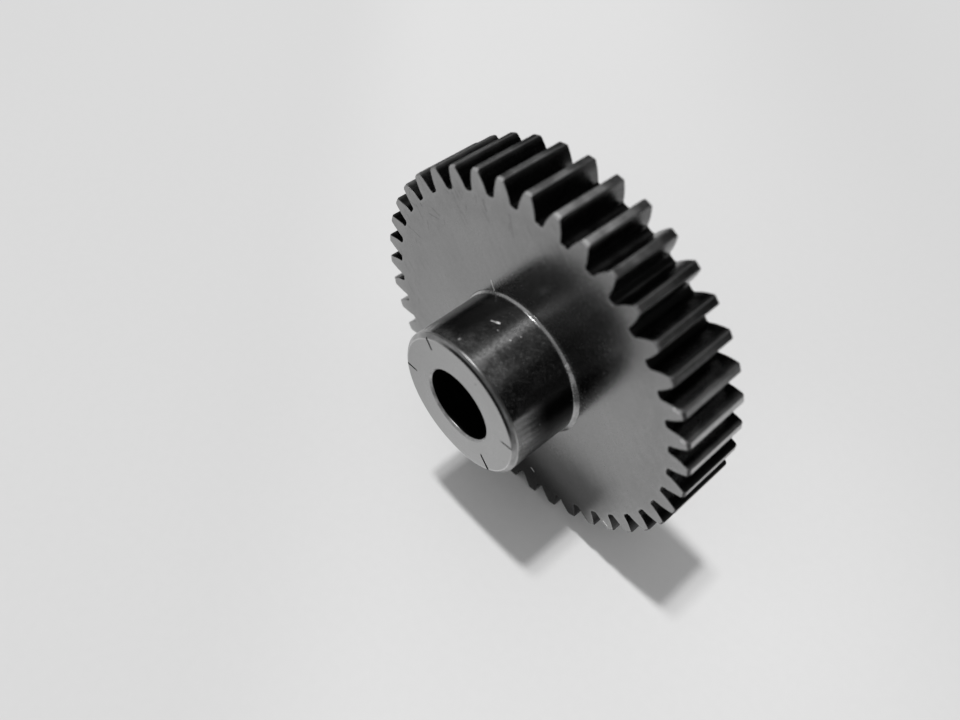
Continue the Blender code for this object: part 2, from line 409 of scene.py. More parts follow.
def hobbed_steel(name, base):
    """Tooth flanks and roots: faint feed marks of the hob, dark with oil, with painted shade on the lower flanks
    and painted light on the roots at the right.
    """
    material, g = new_material(name)
    p = millimetres(g)
    s = g.separate(p)
    feed = g.node(
        "ShaderNodeTexWave",
        {"Vector": p, "Scale": 0.42, "Distortion": 1.2, "Detail": 2.0, "Detail Scale": 0.6},
        bands_direction="Y",
    ).outputs["Fac"]
    lines = g.noise(g.combine(g.mul(s[0], 6.0), g.mul(s[1], 0.35), g.mul(s[2], 6.0)), 1.0, 3.0, 0.6)
    cloud = g.noise(p, 0.55, 3.0, 0.55)
    grain = g.noise(p, 10.0, 3.0, 0.7)
    wear = g.attribute("edge")
    colour = g.mul(g.ramp(cloud, 0.3, 0.7, 0.93, 1.06), base)
    colour = g.mul(colour, g.ramp(lines, 0.3, 0.7, 0.94, 1.06))
    # The root of the gap is duller than the flanks, and on the right half of the wheel it is painted lighter:
    # painted light. The flanks are rubbed bright towards the tip.
    cos_a, sin_a, radius, y = turned_space(g, p)
    root = g.mul(g.ramp(radius, 18.78, 18.95, 1.0, 0.0), g.ramp(cos_a, 0.20, 0.50, 0.0, 1.0))
    # Painted shade: the flanks low on the wheel are darkened.
    under = g.ramp(sin_a, -0.36, -0.52)
    rubbed = g.mul(g.ramp(radius, 20.35, 20.95), g.ramp(grain, 0.35, 0.65, 0.6, 1.0))
    colour = g.mul(colour, g.sub(1.0, g.mul(under, 0.62)))
    colour = g.add(colour, g.add(g.mul(root, 0.09), g.mul(rubbed, 0.07)))
    colour = g.add(colour, g.mul(wear, 0.06))
    rough = g.add(0.26, g.add(g.ramp(cloud, 0.3, 0.7, -0.03, 0.04), g.ramp(grain, 0.3, 0.7, -0.03, 0.03)))
    rough = g.add(rough, g.add(g.mul(root, 0.14), g.add(g.mul(rubbed, 0.14), g.mul(wear, 0.34))))
    height = g.add(g.mul(feed, 0.6), g.add(g.mul(lines, 0.5), g.mul(grain, 0.4)))
    metal = g.sub(0.993, g.add(g.mul(root, 0.03), g.mul(rubbed, 0.05)))
    finish_steel(g, colour, rough, height, 2.0e-6, metal=metal)
    return material


def turned_tips(name, base):
    """Tooth tips: the turned outside of the blank, with the turning marks across
    each tip, and lighter handled edges."""
    material, g = new_material(name)
    p = millimetres(g)
    cos_a, sin_a, radius, y = turned_space(g, p)
    rings = g.noise(g.combine(g.mul(cos_a, 5.0), g.mul(sin_a, 5.0), g.mul(y, 6.0)), 1.0, 3.0, 0.6)
    cloud = g.noise(p, 0.6, 3.0, 0.55)
    grain = g.noise(p, 8.0, 3.0, 0.7)
    wear = g.attribute("edge")
    colour = g.mul(g.ramp(cloud, 0.3, 0.7, 0.86, 1.10), base)
    colour = g.mul(colour, g.ramp(rings, 0.3, 0.7, 0.94, 1.06))
    grain_fine = g.noise(p, 3.0, 4.0, 0.7)
    colour = g.mul(colour, g.ramp(grain_fine, 0.3, 0.7, 0.93, 1.07))
    # Painted light: the tips over the top of the wheel are painted lighter, and those past the top left and in a
    # band at the upper right painted darker.
    up = g.ramp(sin_a, 0.0, 0.3)
    top = g.mul(up, g.mul(g.ramp(cos_a, 0.45, 0.22), g.ramp(cos_a, -0.60, -0.50)))
    # The chamfer at the front: duller. At the upper left it is made less metallic so that it shows paler, painted
    # light, and at the right it is painted darker, painted shade.
    chamfer = g.ramp(y, WEB + 0.34, WEB + 0.22, 0.0, 1.0)
    pale = g.mul(g.mul(chamfer, g.ramp(sin_a, 0.1, 0.4)), g.ramp(cos_a, 0.0, -0.20))
    right = g.mul(chamfer, g.ramp(cos_a, 0.70, 0.85))
    beyond = g.mul(g.mul(up, g.ramp(cos_a, -0.56, -0.64)), g.sub(1.0, chamfer))
    middle = g.mul(up, g.mul(g.ramp(cos_a, 0.52, 0.70), g.ramp(cos_a, 0.88, 0.78)))
    colour = g.mul(colour, g.add(1.0, g.sub(g.mul(top, 0.50), g.add(g.mul(beyond, 0.35), g.mul(middle, 0.22)))))
    # Painted light: the tips at the far right are painted much lighter.
    colour = g.mul(colour, g.ramp(cos_a, 0.86, 0.93, 1.0, 1.5))
    # Painted shade on the chamfers at the right.
    colour = g.mul(colour, g.sub(1.0, g.mul(right, 0.55)))
    # Painted shade: the tips over the top are painted darker towards the back face.
    film = g.mul(g.ramp(sin_a, 0.30, 0.70), g.ramp(y, 3.4, 7.8, 0.0, 0.60))
    colour = g.mul(colour, g.sub(1.0, film))
    colour = g.add(colour, g.mul(wear, 0.03))
    rough = g.add(g.add(0.46, g.mul(chamfer, 0.20)), g.add(g.ramp(cloud, 0.3, 0.7, -0.04, 0.05), g.ramp(grain, 0.3, 0.7, -0.04, 0.04)))
    rough = g.add(rough, g.mul(wear, 0.15))
    height = g.add(g.mul(rings, 1.0), g.mul(grain, 0.6))
    finish_steel(g, colour, rough, height, 2.2e-6, metal=g.sub(0.95, g.mul(pale, 0.28)))
    return material


def turned_face(name, base):
    """The hub's end face: very fine rings round the bore."""
    material, g = new_material(name)
    p = millimetres(g)
    cos_a, sin_a, radius, y = turned_space(g, p)
    rings = g.noise(g.combine(g.mul(cos_a, 1.5), g.mul(sin_a, 1.5), g.mul(radius, 9.0)), 1.0, 3.0, 0.6)
    cloud = g.noise(p, 0.25, 3.0, 0.5)
    grain = g.noise(p, 9.0, 3.0, 0.7)
    s = g.separate(p)
    spot = g.math("MAXIMUM", specks(g, p, 0.9, 0.16, 0.09), streak(g, p, FACE_DOT, FACE_DOT + Vector((0.02, 0, 0)), 0.17))
    # Painted light: the rim of the face is painted lighter on its shaded side and at the top left.
    facing = g.add(g.mul(cos_a, 0.5), g.mul(sin_a, 0.87))
    rim = g.mul(g.ramp(radius, 7.42, 7.54), g.ramp(facing, 0.70, 0.25, 0.0, 1.0))
    colour = g.mul(g.ramp(rings, 0.25, 0.75, 0.97, 1.03), base)
    colour = g.mul(colour, g.ramp(cloud, 0.3, 0.7, 0.97, 1.03))
    # Painted shade: the face is darker towards the left.
    colour = g.mul(colour, g.ramp(s[0], -7.5, -1.0, 0.88, 1.0))
    colour = g.mul(colour, g.ramp(spot, 0.0, 1.0, 1.0, 0.55, smooth=False))
    colour = g.add(colour, g.mul(g.mul(rim, g.ramp(grain, 0.3, 0.7, 0.75, 1.15)), 0.30))
    rough = g.add(0.26, g.add(g.ramp(cloud, 0.3, 0.7, -0.02, 0.02), g.ramp(grain, 0.3, 0.7, -0.02, 0.02)))
    height = g.add(g.mul(rings, 0.5), g.add(g.mul(grain, 0.3), g.mul(spot, -1.0)))
    finish_steel(g, colour, rough, height, 1.5e-6)
    return material


FACE_DOT = Vector((6.48 * math.cos(math.radians(69.4)), HUB_END, 6.48 * math.sin(math.radians(69.4))))


def turned_barrel(name, base):
    """The outside of the hub: turned, near black with oil, with smudges towards
    the front, small dings and dust."""
    material, g = new_material(name)
    p = millimetres(g)
    cos_a, sin_a, radius, y = turned_space(g, p)
    rings = g.noise(g.combine(g.mul(cos_a, 2.0), g.mul(sin_a, 2.0), g.mul(y, 8.0)), 1.0, 4.0, 0.65)
    smudge = g.noise(g.vec("ADD", p, (3.1, 0.0, 5.7)), 0.42, 4.0, 0.6, 0.4)
    cloud = g.noise(g.vec("ADD", p, (9.0, 2.0, 1.0)), 0.9, 4.0, 0.65)
    grain = g.noise(p, 4.0, 4.0, 0.75)
    dust = specks(g, p, 1.2, 0.20, 0.085)
    # A dull smudge over the top, thinning out to the back and to the right,
    # another low at the front, and clean oil in between.
    front = g.ramp(y, -7.9, -2.6, 1.0, 0.30)
    top = g.mul(g.ramp(sin_a, 0.76, 0.94, 0.05, 1.0), g.ramp(cos_a, -0.34, -0.06, 0.0, 1.0))
    back_left = g.mul(g.ramp(cos_a, -0.05, -0.25), g.ramp(y, -7.4, -5.8, 0.9, 0.0))
    low = g.mul(g.ramp(y, -7.9, -5.2, 1.0, 0.0), g.ramp(sin_a, 0.55, 0.15))
    film = g.add(g.mul(g.mul(front, top), g.ramp(cloud, 0.30, 0.68, 0.45, 1.10)), g.mul(g.ramp(smudge, 0.45, 0.70), 0.10))
    film = g.math("MAXIMUM", film, g.mul(g.math("MAXIMUM", low, back_left), g.ramp(cloud, 0.3, 0.65, 0.4, 1.0)))
    lint = g.ramp(g.noise(p, 3.0, 4.0, 0.85), 0.50, 0.66, 0.0, 0.19)
    # Painted shade: the barrel is darkened low and at the sides towards the web.
    painted_shade_near_web = g.mul(g.ramp(y, -6.2, -3.2), g.ramp(sin_a, 0.75, 0.45))
    mark = strongest(g, [g.mul(streak(g, p, a, b, w), v) for a, b, w, v in BARREL_MARKS])
    colour = g.mul(g.ramp(rings, 0.25, 0.75, 0.93, 1.07), base)
    colour = g.mul(colour, g.ramp(grain, 0.3, 0.7, 0.88, 1.12))
    colour = g.mul(colour, g.sub(1.0, g.mul(painted_shade_near_web, 0.88)))
    # Painted highlight: a band along the top right is painted lighter.
    painted_highlight_band = g.mul(g.ramp(sin_a, 0.80, 0.90), g.ramp(cos_a, 0.10, 0.22))
    colour = g.mul(colour, g.add(1.0, g.mul(painted_highlight_band, 0.45)))
    colour = g.add(colour, g.add(g.mul(dust, 0.25), g.mul(mark, 0.65)))
    rough = g.add(g.add(0.212, g.mul(low, 0.10)), g.ramp(y, -7.8, -2.0, -0.024, 0.0))
    rough = g.add(rough, g.ramp(grain, 0.3, 0.7, -0.02, 0.03))
    rough = g.add(rough, g.add(g.mul(dust, 0.25), g.mul(mark, 0.35)))
    height = g.add(g.mul(rings, 0.7), g.add(g.mul(grain, 0.5), g.add(g.mul(dust, 2.0), g.mul(mark, 3.0))))
    tangent = g.combine(0.0, 1.0, 0.0)
    clean = g.mul(g.ramp(cos_a, -0.10, -0.26), g.ramp(y, -6.6, -5.2))
    lint = g.mul(lint, g.mul(g.sub(1.0, painted_shade_near_web), g.sub(1.0, clean)))
    metal = g.sub(g.sub(0.994, lint), g.add(g.mul(film, 0.34), g.mul(mark, 0.5)))
    finish_steel(g, colour, rough, height, 2.0e-6, 0.78, tangent, metal)
    return material


def on_barrel(degrees, y):
    a = math.radians(degrees)
    return (HUB_R * math.cos(a), y, HUB_R * math.sin(a))


# Pale dings and dust on the barrel: two ends, a width and how bright.
BARREL_MARKS = (
    (on_barrel(98.9, -3.02), on_barrel(95.9, -2.86), 0.10, 0.8),
    (on_barrel(94.9, -2.78), on_barrel(93.7, -2.72), 0.19, 1.0),
    (on_barrel(89.8, -3.40), on_barrel(89.6, -3.36), 0.12, 0.35),
    (on_barrel(101.0, -6.68), on_barrel(100.8, -6.64), 0.17, 0.55),
    (on_barrel(76.6, -2.18), on_barrel(76.4, -2.14), 0.11, 0.30),
    (on_barrel(78.9, -3.23), on_barrel(78.7, -3.19), 0.11, 0.28),
)


def bright_edge(name, base, rough_at, dark_line=None):
    """Turned chamfers and the collar: brighter and duller than the barrel. dark_line is a pair of radii: with it
    the chamfer is painted darker where it faces the upper right, and its inner edge is painted dark up to there at
    the top: painted shade."""
    material, g = new_material(name)
    p = millimetres(g)
    cos_a, sin_a, radius, y = turned_space(g, p)
    around = g.noise(g.combine(g.mul(cos_a, 5.0), g.mul(sin_a, 5.0), g.mul(y, 1.5)), 1.0, 4.0, 0.65)
    rings = g.noise(g.combine(g.mul(cos_a, 2.5), g.mul(sin_a, 2.5), g.mul(g.add(y, radius), 9.0)), 1.0, 2.0, 0.6)
    grain = g.noise(p, 5.0, 3.0, 0.6)
    wear = g.attribute("edge")
    colour = g.mul(g.ramp(around, 0.3, 0.7, 0.74, 1.12), base)
    colour = g.mul(colour, g.ramp(rings, 0.3, 0.7, 0.96, 1.04))
    colour = g.add(colour, g.mul(wear, 0.05))
    metal = 0.80
    if dark_line:
        # Painted shade: darker where the chamfer faces the upper right, and a dark line at its inner edge.
        facing = g.add(g.mul(cos_a, 0.5), g.mul(sin_a, 0.87))
        colour = g.mul(colour, g.ramp(facing, 0.72, 0.95, 1.0, 0.55))
        inner = g.mul(g.ramp(radius, dark_line[0], dark_line[1], 1.0, 0.0), g.ramp(facing, 0.55, 0.85))
        inner = g.mul(inner, g.ramp(sin_a, 0.30, 0.55))
        colour = g.mul(colour, g.sub(1.0, g.mul(inner, 0.88)))
    rough = g.add(rough_at, g.ramp(grain, 0.3, 0.7, -0.03, 0.03))
    height = g.add(g.mul(rings, 0.3), g.mul(around, 0.6))
    finish_steel(g, colour, rough, height, 1.2e-6, metal=metal)
    return material


def dark_steel(name, base):
    """The bore, the seam and the scribed marks: a dark colour, painted shade in these recesses."""
    material, g = new_material(name)
    p = millimetres(g)
    cos_a, sin_a, radius, y = turned_space(g, p)
    rings = g.noise(g.combine(g.mul(cos_a, 2.0), g.mul(sin_a, 2.0), g.mul(y, 5.0)), 1.0, 3.0, 0.6)
    grain = g.noise(p, 5.0, 3.0, 0.6)
    colour = g.mul(g.ramp(rings, 0.3, 0.7, 0.8, 1.2), base)
    rough = g.add(0.34, g.ramp(grain, 0.3, 0.7, -0.05, 0.08))
    finish_steel(g, colour, rough, g.add(rings, grain), 1.5e-6)
    return material


# ------------------------------------------------------------------- the wheel
def involute(angle):
    return math.tan(angle) - angle


def half_angle(radius):
    at_pitch = math.pi / (2 * TEETH) + involute(PRESSURE)
    return at_pitch - involute(math.acos(min(1.0, BASE_R / radius)))


N_LAND, N_CORNER, N_FLANK, N_FILLET, N_ROOT = 4, 4, 7, 4, 2
CORNER = 0.09                    # rounding of the tip corners


def half_tooth(tip_radius):
    """(radius, angle, kind, edge) down half a tooth, from the middle of its tip
    to the middle of the gap. kind 0 is tip, 1 is flank or root. edge is 1 on the
    rounded tip corner."""
    points = []
    tip_half = half_angle(tip_radius)
    land_end = tip_half - CORNER / tip_radius
    for i in range(N_LAND):
        points.append((tip_radius, land_end * i / N_LAND, 0, 0.0))
    a0 = (tip_radius, land_end)
    r2 = tip_radius - CORNER
    a2 = (r2, half_angle(r2))
    corner = (tip_radius, tip_half)
    for i in range(N_CORNER + 1):
        t = i / N_CORNER
        w0, w1, w2 = (1 - t) ** 2, 2 * t * (1 - t), t * t
        points.append(
            (
                w0 * a0[0] + w1 * corner[0] + w2 * a2[0],
                w0 * a0[1] + w1 * corner[1] + w2 * a2[1],
                0 if t < 0.5 else 1,
                1.0 - abs(2 * t - 1) * 0.7,
            )
        )
    for i in range(1, N_FLANK + 1):
        radius = r2 + (FORM_R - r2) * i / N_FLANK
        points.append((radius, half_angle(radius), 1, 0.0))
    start = points[-1][1]
    end = start + 0.30 / ROOT_R
    for i in range(1, N_FILLET + 1):
        turn = math.pi / 2 * i / N_FILLET
        points.append(
            (
                FORM_R - (FORM_R - ROOT_R) * math.sin(turn),
                start + (end - start) * (1 - math.cos(turn)),
                1,
                0.0,
            )
        )
    gap = TOOTH / 2
    for i in range(1, N_ROOT + 1):
        points.append((ROOT_R, end + (gap - end) * i / N_ROOT, 1, 0.0))
    return points


def wheel_ring(tip_radii, inset):
    """One closed ring of the toothed outline: radius, angle, kind and edge per
    point. tip_radii holds one tip radius per tooth."""
    radius, angle, kind, edge = [], [], [], []
    for tooth in range(TEETH):
        half = half_tooth(tip_radii[tooth])
        centre = (tooth + 0.5) * TOOTH
        for r, a, k, e in half[:0:-1]:
            radius.append(r), angle.append(centre - a), kind.append(k), edge.append(e)
        for r, a, k, e in half[:-1]:
            radius.append(r), angle.append(centre + a), kind.append(k), edge.append(e)
    radius, angle = np.array(radius), np.array(angle)
    xz = np.stack([radius * np.cos(angle), radius * np.sin(angle)], 1)
    if inset > 0:
        step = np.roll(xz, -1, 0) - np.roll(xz, 1, 0)
        step /= np.linalg.norm(step, axis=1)[:, None]
        inward = np.stack([-step[:, 1], step[:, 0]], 1)   # the outline runs anticlockwise
        xz = xz + inward * inset
    return xz, np.array(kind), np.array(edge)


def circle_ring(angles, radius):
    return np.stack([radius * np.cos(angles), radius * np.sin(angles)], 1)


def build_wheel(materials):
    ground, hobbed, tips, dark = range(4)
    front_chamfer = 0.19 + rng.uniform(-0.03, 0.03, TEETH)
    back_chamfer = 0.18 + rng.uniform(-0.03, 0.04, TEETH)
    fillet = 0.055 + rng.uniform(-0.015, 0.02, TEETH)

    def tip_radii(depth, chamfer):
        """Convex chamfer: steep at the end face and rolling over into the tip."""
        axial = chamfer * 1.25
        left = np.clip(1.0 - depth / axial, 0.0, 1.0)
        return TIP_R - chamfer * 0.93 * left ** 1.6

    def inset_at(depth, size=0.06):
        if depth >= size:
            return 0.0
        return size - math.sqrt(size * size - (size - depth) ** 2)

    xz0, kind, edge = wheel_ring(tip_radii(0.0, front_chamfer), 0.06)
    angles = np.arctan2(xz0[:, 1], xz0[:, 0])
    count = len(angles)

    rings = []          # (xz, y, edge wear)
    bands = []          # material of the band that starts at this ring, or None by kind

    def circle(radius, y, material, wear=0.0):
        rings.append((circle_ring(angles, radius), np.full(count, y), np.full(count, wear)))
        bands.append(material)

    seat = SEAT_R + SEAM
    hole = TAIL_R + SEAM
    circle(hole, BACK - 0.05, dark)
    circle(hole, WEB + 1.0, dark)
    circle(seat, WEB + 1.0, dark)
    circle(seat, WEB + 0.07, dark)
    circle(seat + 0.012, WEB + 0.03, ground, 0.5)
    circle(seat + 0.035, WEB + 0.008, ground, 0.5)
    circle(seat + 0.07, WEB, ground)
    for radius in (9.2, 12.0, 15.0, 17.6, 18.35):
        circle(radius, WEB, ground)

    front_depths = [0.0, 0.004, 0.012, 0.024, 0.040, 0.060, 0.11, 0.17, 0.23, 0.28, 0.32, 0.36, 0.40, 0.45, 0.55]
    for i, depth in enumerate(front_depths):
        xz, _, tooth_edge = wheel_ring(tip_radii(depth, front_chamfer), inset_at(depth))
        rim = max(0.0, 1 - abs(depth - 0.02) / 0.04)
        rings.append((xz, np.full(count, WEB + depth), np.maximum(rim, tooth_edge * 0.8)))
        bands.append(ground if i < 2 else None)
    for y in np.linspace(WEB + 1.4, BACK - 1.2, 5):
        xz, _, tooth_edge = wheel_ring(np.full(TEETH, TIP_R), 0.0)
        rings.append((xz, np.full(count, y), tooth_edge * 0.8))
        bands.append(None)
    back_depths = [0.45, 0.32, 0.26, 0.22, 0.18, 0.12, 0.060, 0.040, 0.024, 0.012, 0.004, 0.0]
    for i, depth in enumerate(back_depths):
        xz, _, tooth_edge = wheel_ring(tip_radii(depth, back_chamfer), inset_at(depth))
        rim = max(0.0, 1 - abs(depth - 0.02) / 0.04)
        rings.append((xz, np.full(count, BACK - depth), np.maximum(rim, tooth_edge * 0.8)))
        bands.append(None if i < len(back_depths) - 2 else ground)
    for radius in (18.35, 17.6, 14.0, 10.0, hole + 0.06):
        circle(radius, BACK, ground)
    circle(hole + 0.015, BACK - 0.015, dark, 0.4)

    coords, wear = [], []
    for xz, y, w in rings:
        coords.append(np.stack([xz[:, 0], y, xz[:, 1]], 1))
        wear.append(w)
    coords = np.concatenate(coords)
    wear = np.concatenate(wear)

    # Handled and hobbed edges are not perfectly even: burrs and small dents near
    # the front rim of the teeth.
    radial = np.hypot(coords[:, 0], coords[:, 2])
    near_rim = (radial > 18.3) & (coords[:, 1] < WEB + 0.5)
    wave = (
        np.sin(coords[:, 0] * 3.1 + 1.3) * np.sin(coords[:, 2] * 2.7 - 0.4)
        + 0.6 * np.sin(coords[:, 0] * 7.9 - coords[:, 2] * 6.3)
    )
    coords[near_rim, 1] += 0.006 * wave[near_rim] * smoothstep((radial[near_rim] - 18.3) / 1.0)
    for x, z, size, lift in BURRS:
        distance = np.hypot(coords[:, 0] - x, coords[:, 2] - z)
        pull = np.exp(-((distance / size) ** 2)) * (coords[:, 1] < WEB + 0.3)
        coords[:, 1] -= lift * pull
        wear += 0.9 * pull * (lift > 0)

    faces, slots = [], []
    index = np.arange(count)
    after = (index + 1) % count
    pair_kind = np.where((kind == 0) & (kind[after] == 0), tips, hobbed)
    for i in range(len(rings)):
        j = (i + 1) % len(rings)
        a, b = i * count, j * count
        quads = np.stack([a + index, a + after, b + after, b + index], 1)
        faces.extend(map(tuple, quads.tolist()))
        slots.append(pair_kind if bands[i] is None else np.full(count, bands[i]))
    slots = np.concatenate(slots)
    obj = mesh_object("wheel_with_teeth", coords, faces, slots, materials)
    face_outwards(obj.data)
    set_point_attribute(obj.data, "edge", np.clip(wear, 0, 1))
    area_normals(obj.data)
    return obj


# Burrs (lifted) and dents (sunk) on the front rim: x, z, size, height.
BURRS = (
    (16.98, 11.51, 0.16, 0.07),
    (17.30, 11.20, 0.12, 0.05),
    (18.56, 8.57, 0.18, 0.08),
    (-5.0, 20.2, 0.20, 0.05),
    (-2.2, 20.6, 0.22, -0.05),
    (-7.4, 19.2, 0.16, 0.05),
    (14.95, -13.30, 0.22, 0.05),
    (8.3, 18.6, 0.20, -0.04),
    (19.9, 3.1, 0.20, 0.05),
    (3.0, 20.4, 0.18, -0.05),
)


# --------------------------------------------------------------------- the hub
def rounded_outline(points):
    """points is a closed list of (radius, y, rounding, material, steps): each
    corner is rounded by an arc, and the material is that of the wall after it."""
    out = []
    total = len(points)
    for i in range(total):
        p = np.array(points[i][:2], float)
        before = np.array(points[i - 1][:2], float) - p
        after = np.array(points[(i + 1) % total][:2], float) - p
        rounding, material, steps = points[i][2:]
        if rounding <= 0:
            out.append((p[0], p[1], material, 0.0))
            continue
        lb, la = np.linalg.norm(before), np.linalg.norm(after)
        before, after = before / lb, after / la
        reach = min(rounding, lb * 0.45, la * 0.45)
        start, end = p + before * reach, p + after * reach
        for k in range(steps + 1):
            t = k / steps
            q = (1 - t) ** 2 * start + 2 * t * (1 - t) * p + t * t * end
            out.append((q[0], q[1], material, 1 - abs(2 * t - 1)))
    return out


def build_hub(materials):
    face, barrel, dark, mark, rim, collar = range(6)
    back = BACK
    corners = [
        (BORE_R, HUB_END + 0.22, 0.06, rim, 4),
        (BORE_R + 0.22, HUB_END, 0.03, face, 3),
        (HUB_R - 0.40, HUB_END, 0.05, rim, 4),
        (HUB_R, HUB_END + 0.40, 0.15, rim, 7),
        (HUB_R, HUB_END + 0.60, 0.0, barrel, 0),
        (HUB_R, WEB - COLLAR_UP, 0.10, collar, 6),
        (COLLAR_R, WEB - 0.03, 0.05, collar, 4),
        (COLLAR_R - 0.02, WEB - 0.004, 0.0, collar, 0),
        (SEAT_R, WEB - 0.004, 0.0, dark, 0),
        (SEAT_R, WEB + 0.70, 0.0, dark, 0),
        (TAIL_R, WEB + 0.70, 0.0, dark, 0),
        (TAIL_R, back - 0.25, 0.05, rim, 3),
        (TAIL_R - 0.25, back, 0.04, face, 3),
        (BORE_R + 0.30, back, 0.03, rim, 3),
        (BORE_R, back - 0.30, 0.05, dark, 3),
    ]
    outline = rounded_outline(corners)
    # Extra rings on the long walls keep the quads short.
    dense = []
    for i, (r, y, material, e) in enumerate(outline):
        r2, y2, _, _ = outline[(i + 1) % len(outline)]
        span = math.hypot(r2 - r, y2 - y)
        parts = max(1, int(math.ceil(span / 1.1)))
        for k in range(parts):
            t = k / parts
            dense.append((r + (r2 - r) * t, y + (y2 - y) * t, material, e if k == 0 else 0.0))
    segments = 360
    angles = np.arange(segments) * 2 * math.pi / segments
    coords, wear = [], []
    for r, y, _, e in dense:
        coords.append(np.stack([r * np.cos(angles), np.full(segments, y), r * np.sin(angles)], 1))
        wear.append(np.full(segments, e))
    coords, wear = np.concatenate(coords), np.concatenate(wear)

    # The collar is narrow at the top and widens towards the lower right.
    turn = np.degrees(np.arctan2(coords[:, 2], coords[:, 0]))
    narrow = smoothstep((np.abs((turn + 15.0 + 180) % 360 - 180) - 8.0) / 80.0)
    radial = np.hypot(coords[:, 0], coords[:, 2])
    on_collar = (coords[:, 1] > WEB - COLLAR_UP - 0.15) & (coords[:, 1] < WEB - 0.002) & (radial > HUB_R - 0.001)
    share = np.where(on_collar, narrow * 0.45, 0.0)
    new_radial = HUB_R + (radial - HUB_R) * (1 - share)
    coords[:, 0] *= new_radial / radial
    coords[:, 2] *= new_radial / radial
    coords[:, 1] += np.where(on_collar, (WEB - coords[:, 1]) * share, 0.0)

    # Small knocks: the collar's edge has a burr at the top and two flat spots,
    # and the front edge of the barrel is worn a little unevenly.
    angle = np.degrees(np.arctan2(coords[:, 2], coords[:, 0]))
    radial = np.hypot(coords[:, 0], coords[:, 2])
    for degrees, spread, y0, depth_y, push_r, push_y in KNOCKS:
        off = (angle - degrees + 180) % 360 - 180
        pull = np.exp(-((off / spread) ** 2)) * np.exp(-(((coords[:, 1] - y0) / depth_y) ** 2))
        pull *= smoothstep((radial - 7.2) / 0.6)
        scale = 1 + push_r * pull / np.maximum(radial, 1e-6)
        coords[:, 0] *= scale
        coords[:, 2] *= scale
        coords[:, 1] += push_y * pull
        wear = np.maximum(wear, pull * 0.6)

    faces, slots = [], []
    index = np.arange(segments)
    after = (index + 1) % segments
    for i in range(len(dense)):
        j = (i + 1) % len(dense)
        a, b = i * segments, j * segments
        quads = np.stack([a + index, a + after, b + after, b + index], 1)
        faces.extend(map(tuple, quads.tolist()))
        slots.append(np.full(segments, dense[i][2]))
    obj = mesh_object("hub_with_collar", coords, faces, np.concatenate(slots), materials)
    face_outwards(obj.data)
    set_point_attribute(obj.data, "edge", np.clip(wear, 0, 1))

    cutters = []
    for number, (degrees, inner, outer, width, depth) in enumerate(MARKS, 1):
        cutters.append(scribe_cutter(f"scribe_tool_{number}", degrees, inner, outer, width, depth, materials[mark]))
    for cutter in cutters:
        modifier = obj.modifiers.new(cutter.name, "BOOLEAN")
        modifier.operation = "DIFFERENCE"
        modifier.solver = "EXACT"
        modifier.material_mode = "TRANSFER"
        modifier.object = cutter
    bpy.context.view_layer.update()
    depsgraph = bpy.context.evaluated_depsgraph_get()
    cut = bpy.data.meshes.new_from_object(obj.evaluated_get(depsgraph))
    cut.name = "hub_with_collar"
    obj.modifiers.clear()
    obj.data = cut
    for cutter in cutters:
        bpy.data.objects.remove(cutter)
    area_normals(obj.data, [i for i, m in enumerate(cut.materials) if m and m.name == materials[mark].name])
    return obj


# Scribed layout marks on the hub's end face: degrees from +X towards +Z, inner
# and outer radius, width, depth.
MARKS = (
    (10.7, 6.15, 7.58, 0.21, 0.13),
    (126.8, 6.25, 7.66, 0.27, 0.15),
    (185.4, 6.10, 7.66, 0.23, 0.22),
    (310.4, 5.68, 7.78, 0.31, 0.30),
)

# Knocks on the hub: degrees, spread in degrees, y, spread in y, push outwards,
# push along y.
KNOCKS = (
    (45.0, 1.6, WEB - 0.15, 0.20, 0.04, -0.03),
    (41.0, 1.6, WEB - 0.15, 0.20, -0.06, 0.03),
    (-22.0, 5.0, WEB - 0.20, 0.30, 0.05, 0.02),
    (84.0, 4.0, HUB_END + 0.35, 0.25, -0.02, 0.0),
    (262.0, 1.2, HUB_END + 0.15, 0.20, -0.04, 0.02),
)


def scribe_cutter(name, degrees, inner, outer, width, depth, material):
    """A V-shaped wedge, shallow where the scriber was lifted, deep at the edge."""
    above = 0.05
    rows = []
    for r, share in ((inner - 0.02, 0.12), (inner + 0.30, 0.75), (outer - 0.3, 1.0), (outer + 0.05, 1.0)):
        d, w = depth * share, width * (0.35 + 0.65 * share)
        half_top = 0.5 * w * (d + above) / d if d > 0 else w
        half_top = min(half_top, w * 1.2)
        rows.append([(r, HUB_END - above, -half_top), (r, HUB_END - above, half_top), (r, HUB_END + d, 0.0)])
    coords = [p for row in rows for p in row]
    faces = [(0, 1, 2), (11, 10, 9)]
    for i in range(3):
        a, b = i * 3, i * 3 + 3
        for k in range(3):
            m = (k + 1) % 3
            faces.append((a + k, b + k, b + m, a + m))
    turn = np.array(Matrix.Rotation(-math.radians(degrees), 3, "Y"))
    obj = mesh_object(name, np.array(coords) @ turn.T, faces, np.zeros(len(faces)), [material])
    face_outwards(obj.data)
    obj.hide_render = True
    return obj


COLLAR_UP = 0.42                  # height of the collar's cone at its widest

# ------------------------------------------------------------------ put it together
wheel_materials = [
    ground_steel("wheel_ground_face", 0.295),
    hobbed_steel("wheel_hobbed_flank", 0.17),
    turned_tips("wheel_turned_tip", 0.37),
    dark_steel("wheel_hidden_seat", 0.10),
]
hub_materials = [
    turned_face("hub_turned_face", 0.395),
    turned_barrel("hub_turned_barrel", 0.24),
    dark_steel("hub_bore", 0.12),
    dark_steel("hub_scribed_mark", 0.012),
    bright_edge("hub_chamfer", 0.43, 0.36, (7.73, 7.82)),
    bright_edge("hub_collar", 0.44, 0.25),
]

wheel = build_wheel(wheel_materials)
hub = build_hub(hub_materials)
for piece, node, slot in ((wheel, "toothed_wheel", "wheel_steel"), (hub, "hub", "hub_steel")):
    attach(piece, "root")
    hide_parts(node)


